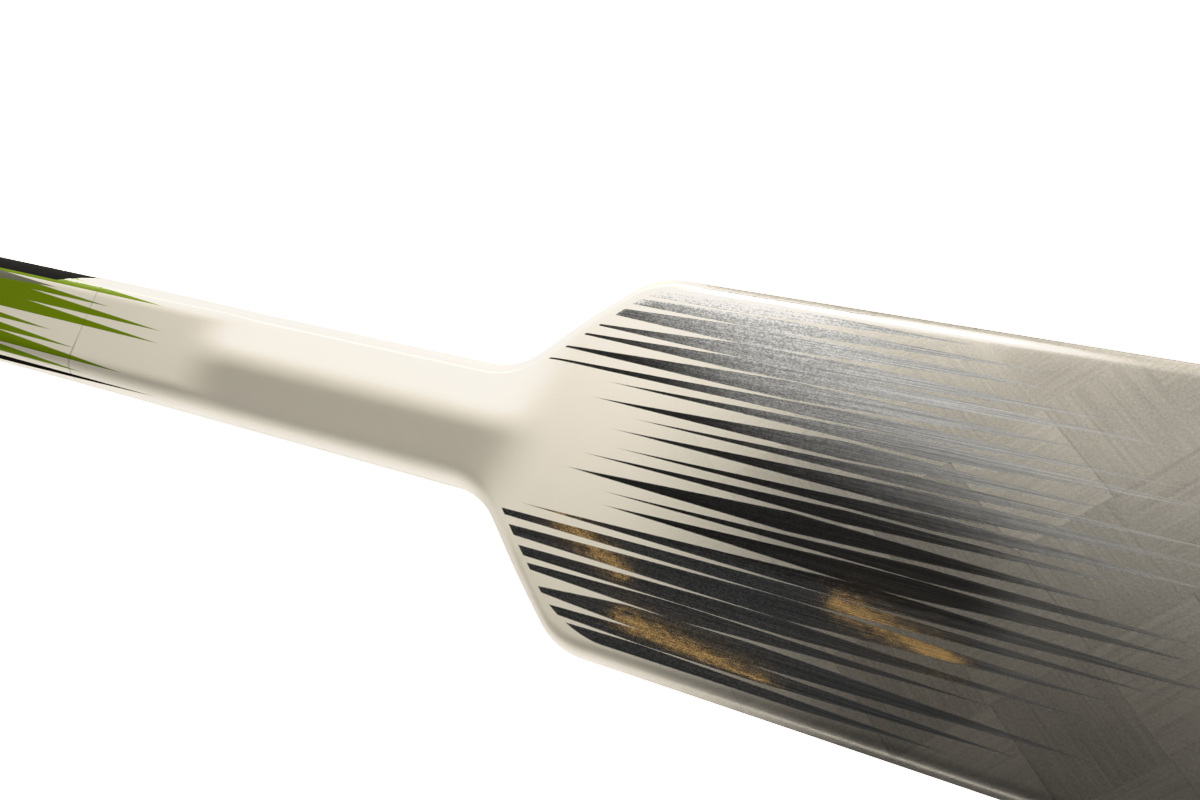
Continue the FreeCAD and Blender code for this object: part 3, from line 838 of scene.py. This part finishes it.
class BladeForm:
    """Where the blade's outline and its curved faces are."""

    def __init__(self):
        size = sizes()
        turn = math.pi - size.lie_angle
        self.along = Vector((math.cos(turn), math.sin(turn)))
        self.up = Vector((-math.sin(turn), math.cos(turn)))
        self.heel = Vector((size.paddle_length, -size.paddle_width / 2))
        self.size = size

    def point(self, along, up):
        """A point in plan, along the blade from the heel and up from its bottom edge."""
        return self.heel + self.along * along + self.up * up

    def outline(self):
        """Points and outward normals round the blade, from the neck's heel side to its toe side."""
        size = self.size
        half, neck = size.paddle_width / 2, PADDLE_HIGH.x
        top = self.point(0.0, size.blade_height)
        crotch = top + self.along * ((half - top.y) / self.along.y)
        corners = [
            (Vector((neck, -half)), 0.0),
            (self.heel, size.heel_radius),
            (self.point(size.blade_length - size.toe_slant, 0.0), size.toe_low_radius),
            (self.point(size.blade_length, size.blade_height), size.toe_high_radius),
            (crotch, size.crotch_radius),
            (Vector((neck, half)), 0.0),
        ]
        points = [corners[0][0]]
        for (before, _), (corner, radius), (after, _) in zip(corners, corners[1:], corners[2:]):
            arc = rounding(before, corner, after, radius)
            points += self.evenly(points[-1], arc[0]) + arc
        points += self.evenly(points[-1], corners[-1][0]) + [corners[-1][0]]
        normals = []
        for i, point in enumerate(points):
            run = points[min(i + 1, len(points) - 1)] - points[max(i - 1, 0)]
            normals.append(Vector((run.y, -run.x)).normalized())
        return points, normals

    @staticmethod
    def evenly(start, end):
        """Points between two ends, about one face pitch apart."""
        count = max(1, round((end - start).length / FACE_PITCH))
        return line(start, end, count)[1:]

    def lift(self, point, rise):
        """How far a surface with the given rise at the toe has curved forward at a point."""
        size = self.size
        run = (point - self.heel).dot(self.along) - size.curve_start
        if run <= 0.0:
            return 0.0
        reach = size.blade_length - size.curve_start
        radius = (reach ** 2 + rise ** 2) / (2 * rise)
        return radius - math.sqrt(radius ** 2 - run ** 2)

    def face_z(self, point, front, inset):
        """Height of the front or the back at a point."""
        size = self.size
        if front:
            rise = size.toe_rise + size.toe_thickness - size.thickness
            return size.thickness + self.lift(point, rise) - inset
        return self.lift(point, size.toe_rise) + inset

    def parting_z(self, point):
        """Height of the line where the two skins meet."""
        size = self.size
        rise = size.toe_rise + (size.toe_thickness - size.thickness) / 2
        return size.thickness / 2 + self.lift(point, rise)

    def rings(self, front, inset):
        """Loops of points from the parting line, round the edge, onto the face."""
        size = self.size
        out = 1.0 if front else -1.0
        radius = size.paddle_edge - inset
        bevel = 0.0 if inset else size.joint_bevel
        points, normals = self.outline()
        points = [p - n * inset for p, n in zip(points, normals)]
        loops = [[(p - n * bevel, self.parting_z(p)) for p, n in zip(points, normals)],
                 [(p, self.parting_z(p) + out * bevel) for p in points]]
        for i in range(ARC_STEPS + 1):
            angle = i / ARC_STEPS * math.pi / 2
            inward, drop = radius * (1 - math.cos(angle)), radius * (1 - math.sin(angle))
            moved = [p - n * inward for p, n in zip(points, normals)]
            loops.append([(p, self.face_z(p, front, inset) - out * drop) for p in moved])
        return loops

    def face_points(self, loop):
        """Points and triangles that fill a loop, and how many points close its open side."""
        closing = line(loop[-1], loop[0], NECK_STEPS)[1:]
        border = loop + closing
        low = Vector((min(p.x for p in border), min(p.y for p in border)))
        high = Vector((max(p.x for p in border), max(p.y for p in border)))
        inside = []
        for x in np.arange(low.x, high.x, FACE_PITCH):
            for y in np.arange(low.y, high.y, FACE_PITCH):
                spot = Vector((float(x), float(y)))
                if self.is_inside(spot, border):
                    nearest = min((spot - p).length for p in border)
                    if nearest > BORDER_GAP:
                        inside.append(spot)
        found = delaunay_2d_cdt(border + inside, [], [list(range(len(border)))], 1, 1e-9)
        return [Vector(p) for p in found[0]], found[2], len(closing)

    @staticmethod
    def is_inside(spot, border):
        """Whether a point lies inside a closed outline."""
        inside = False
        for a, b in zip(border, border[1:] + border[:1]):
            if (a.y > spot.y) != (b.y > spot.y):
                crossing = (b.x - a.x) * (spot.y - a.y) / (b.y - a.y) + a.x
                inside = inside != (spot.x < crossing)
        return inside

    def side(self, front, inset):
        """One wall of a skin: its points, its faces, and the two chains of points along its open rim."""
        loops = self.rings(front, inset)
        count = len(loops[0])
        points = [Vector((p.x, p.y, z)) for loop in loops for p, z in loop]
        faces = grid_faces(len(loops), count, 0, not front)
        found, triangles, closing = self.face_points([p for p, _ in loops[-1]])
        last = (len(loops) - 1) * count
        start = len(points)
        points += [Vector((p.x, p.y, self.face_z(p, front, inset))) for p in found[count:]]

        def index(i):
            return last + i if i < count else start + i - count

        for triangle in triangles:
            face = tuple(index(i) for i in triangle)
            faces.append(face if front else face[::-1])
        low_end, high_end = range(0, start, count), range(count - 1, start, count)
        neck_chain = [*high_end, *range(start, start + closing), *reversed(low_end)]
        return points, faces, range(count), neck_chain

    def skin(self, front):
        """A closed skin of the blade: its outside, its inside and the rims between them."""
        points, faces, parting_chain, neck_chain = self.side(front, 0.0)
        inner_points, inner_faces, inner_parting, inner_neck = self.side(front, self.size.skin)
        offset = len(points)
        faces += [tuple(i + offset for i in face)[::-1] for face in inner_faces]
        for chain, other in ((parting_chain, inner_parting), (neck_chain, inner_neck)):
            faces += strip_faces(chain, [i + offset for i in other], front)
        return points + inner_points, faces


class STICK_OT_blade(bpy.types.Operator):
    """Build the front and back skins of the curved blade"""

    bl_idname = "stick.blade"
    bl_label = "Blade skins"

    def execute(self, context):
        form = BladeForm()
        for name, front in (("front", True), ("back", False)):
            points, faces = form.skin(front)
            material = finish(blade_laminate)
            add_piece(f"blade_{name}", points, faces, material, f"blade_{name}_skin")
        return {"FINISHED"}


# Finish of the solids that keep their own meshes, by their slots
INNER_FINISHES = {
    "core_foam": foam_cells,
    "bare_carbon": carbon_weave,
    "laminated_wood": wood_layers,
    "edge_strip": moulded_rubber,
}


class STICK_OT_cores(bpy.types.Operator):
    """Finish the foam, carbon, wood and rubber pieces inside the stick"""

    bl_idname = "stick.cores"
    bl_label = "Inner pieces"

    def execute(self, context):
        for part in frame["record"]["subparts"]:
            if part["material_slot"] in INNER_FINISHES:
                node = frame["nodes"][part["node"]]
                node.data.materials.clear()
                node.data.materials.append(finish(INNER_FINISHES[part["material_slot"]]))
        return {"FINISHED"}


# Stage

CAMERA_PLACE = (0.0830, -0.0219, 0.18584)
CAMERA_AIM = (0.02535, 0.01111, 0.0205)
PICTURE_UP = (-0.20376, 0.94400, 0.25951)
PICTURE_WIDTH = 1200
FOCAL_PIXELS = 787.3
FLOOR_SIZE = 12.0

# How bright light is shown: all of it up to a light grey, and less and less of it up to white
TONE_LIGHTS = (0.3, 0.6, 0.7, 0.8, 1.0, 1.2, 1.6, 2.1)
TONES_SHOWN = (
    (0.3, 0.6, 0.69, 0.775, 0.88, 0.925, 0.945, 0.957),
    (0.3, 0.6, 0.682, 0.754, 0.85, 0.886, 0.906, 0.927),
    (0.3, 0.6, 0.68, 0.75, 0.80, 0.82, 0.85, 0.885),
)

# Each softbox: name, place, aim, width, height, power
SOFTBOXES = (
    ("shaft_softbox", (-0.60, 0.56, 0.205), (-0.60, 0.0, 0.02), 1.0, 0.12, 11.6),
    ("paddle_softbox", (0.035, 0.125, 0.070), (0.03, 0.0, 0.02), 0.18, 0.05, 0.31),
    ("blade_softbox", (1.05, 0.60, 0.50), (0.72, 0.15, 0.02), 0.6, 0.5, 3.2),
    ("low_fill", (-0.1, -0.5, 0.06), (-0.1, 0.0, 0.02), 1.6, 0.10, 3.3),
    ("rim_strip", (0.2, -0.45, 0.055), (0.2, 0.0, 0.02), 0.9, 0.05, 0.24),
)

# Glints of small warm lamps in the foil: where each starts and ends on the face
WARM_GLINTS = (
    ((0.0198, -0.0148), (0.0416, -0.0245)),
    ((0.0418, -0.0330), (0.0755, -0.0377)),
    ((0.0827, -0.0180), (0.1074, -0.0230)),
)
WARM_LAMP_HEIGHT, WARM_LAMP_WIDTH, WARM_LAMP_GLOW = 0.75, 0.006, 3.2
LAMP_TINT, WARM_TINT = (1.0, 0.965, 0.905), (1.0, 0.58, 0.16)
SKY_FILL = 0.04

# Sheets that only reflections show: name, lowest corner, highest corner, finish
REFLECTORS = (
    ("panel", (-0.30, 0.0, 0.42), (0.52, 0.60, 0.42), studio_panel),
    ("near_card", (-0.20, -0.30, 0.001), (0.11, -0.065, 0.001), studio_card),
    ("far_card", (-0.20, 0.065, 0.001), (0.60, 0.60, 0.001), studio_wall),
    ("far_wall", (-0.20, 0.60, 0.001), (0.60, 0.60, 0.42), studio_wall),
)


def facing(place, right, up, back):
    """A placing whose axes are right, up and back."""
    return Matrix.Translation(place) @ Matrix((right, up, back)).transposed().to_4x4()


def add_light(name, place, aim, width, height, power, tint, long_axis=(1.0, 0.0, 0.0)):
    """A soft rectangular light that faces a point, with its width along the long axis."""
    light = bpy.data.lights.new(name, "AREA")
    light.shape = "RECTANGLE"
    light.size, light.size_y = width, height
    light.energy, light.color = power, tint
    lamp = add_object(name, light)
    back = (Vector(place) - Vector(aim)).normalized()
    up = back.cross(Vector(long_axis)).normalized()
    lamp.matrix_world = facing(place, up.cross(back), up, back)
    lamp.visible_camera = False


class STICK_OT_stage(bpy.types.Operator):
    """Set the floor, the lights and the camera"""

    bl_idname = "stick.stage"
    bl_label = "Studio stage"

    def execute(self, context):
        scene = context.scene
        self.floor()
        self.lights()
        self.surround(scene)
        self.camera(scene)
        self.exposure(scene)
        return {"FINISHED"}

    def flat(self, name, low, high, paint):
        """A flat rectangle of the stage between two corners, level or upright."""
        mesh = bpy.data.meshes.new(name)
        corners = [low, (high[0], low[1], low[2]), high, (low[0], high[1], high[2])]
        mesh.from_pydata(corners, [], [(0, 1, 2, 3)])
        mesh.materials.append(finish(paint))
        rectangle = add_object(name, mesh)
        return rectangle

    def floor(self):
        """The floor, and the sheets that only reflections show."""
        half = FLOOR_SIZE / 2
        floor = self.flat("floor", (-half, -half, 0.0), (half, half, 0.0), studio_floor)
        floor.visible_glossy = False
        for name, low, high, paint in REFLECTORS:
            sheet = self.flat(name, low, high, paint)
            sheet.visible_camera = False
            sheet.visible_diffuse = False
            sheet.visible_shadow = False

    def lights(self):
        """The softboxes, and warm lamps that glint in the foil."""
        for softbox in SOFTBOXES:
            add_light(*softbox, LAMP_TINT)
        for name in ("low_fill", "blade_softbox"):
            bpy.data.objects[name].visible_glossy = False
        bpy.data.objects["rim_strip"].visible_diffuse = False
        level = sizes().thickness
        for start, end in WARM_GLINTS:
            ends = [self.seen_in_face(Vector((*glint, level))) for glint in (start, end)]
            run = ends[1] - ends[0]
            middle = Vector((*start, level)).lerp(Vector((*end, level)), 0.5)
            power = WARM_LAMP_GLOW * WARM_LAMP_WIDTH * run.length
            place = ends[0] + run / 2
            add_light("warm_lamp", place, middle, run.length, WARM_LAMP_WIDTH, power, WARM_TINT, run)

    def seen_in_face(self, glint):
        """The point at lamp height that the camera sees mirrored in the flat face."""
        seen_from = Vector(CAMERA_PLACE) - glint
        away = Vector((-seen_from.x, -seen_from.y, seen_from.z))
        return glint + away * ((WARM_LAMP_HEIGHT - glint.z) / away.z)

    def surround(self, scene):
        """A sky that the camera sees as white, and that lights the stick only a little."""
        world = bpy.data.worlds.new("studio")
        shader = Shader(world)
        seen = shader.node("LightPath", output="Is Camera Ray")
        strength = seen.spread(SKY_FILL, WHITE_POINT)
        sky = shader.node("Background", inputs={"Color": WHITE, "Strength": strength})
        shader.node("OutputWorld", inputs={"Surface": sky})
        scene.world = world

    def exposure(self, scene):
        """Keeps tones as they are up to a light grey, and rolls the highlights off to cream."""
        view = scene.view_settings
        view.view_transform = "Standard"
        view.use_curve_mapping = True
        view.curve_mapping.white_level = (WHITE_POINT,) * 3
        for tone, shown in zip(view.curve_mapping.curves, TONES_SHOWN):
            for light, level in zip(TONE_LIGHTS, shown):
                tone.points.new(light / WHITE_POINT, level)
        view.curve_mapping.update()

    def camera(self, scene):
        """A camera at the photograph's viewing angle."""
        data = bpy.data.cameras.new("camera")
        data.sensor_width = 36.0
        data.lens = FOCAL_PIXELS / PICTURE_WIDTH * data.sensor_width
        data.clip_start = 0.01
        camera = add_object("camera", data)
        back = (Vector(CAMERA_PLACE) - Vector(CAMERA_AIM)).normalized()
        right = Vector(PICTURE_UP).cross(back).normalized()
        up = back.cross(right)
        camera.matrix_world = facing(CAMERA_PLACE, right, up, back)
        scene.camera = camera


OPERATORS = (
    STICK_OT_shaft, STICK_OT_end_plug, STICK_OT_paddle, STICK_OT_blade, STICK_OT_cores, STICK_OT_stage
)


class STICK_PT_panel(bpy.types.Panel):
    """The stick's pieces, sizes and colours"""

    bl_idname = "STICK_PT_panel"
    bl_label = "Goalie stick"
    bl_space_type = "VIEW_3D"
    bl_region_type = "UI"
    bl_category = "Goalie stick"

    def draw(self, context):
        column = self.layout.column()
        for operator in OPERATORS:
            column.operator(operator.bl_idname)
        for group in (context.scene.stick_sizes, context.scene.stick_colours):
            for name in type(group).__annotations__:
                column.prop(group, name)


CLASSES = (StickSizes, StickColours, *OPERATORS, STICK_PT_panel)


def register():
    for cls in CLASSES:
        bpy.utils.register_class(cls)
    bpy.types.Scene.stick_sizes = bpy.props.PointerProperty(type=StickSizes)
    bpy.types.Scene.stick_colours = bpy.props.PointerProperty(type=StickColours)


def unregister():
    del bpy.types.Scene.stick_colours
    del bpy.types.Scene.stick_sizes
    for cls in reversed(CLASSES):
        bpy.utils.unregister_class(cls)


def main():
    register()
    bpy.ops.stick.shaft()
    bpy.ops.stick.end_plug()
    bpy.ops.stick.paddle()
    bpy.ops.stick.blade()
    bpy.ops.stick.cores()
    bpy.ops.stick.stage()


if __name__ == "__main__":
    main()
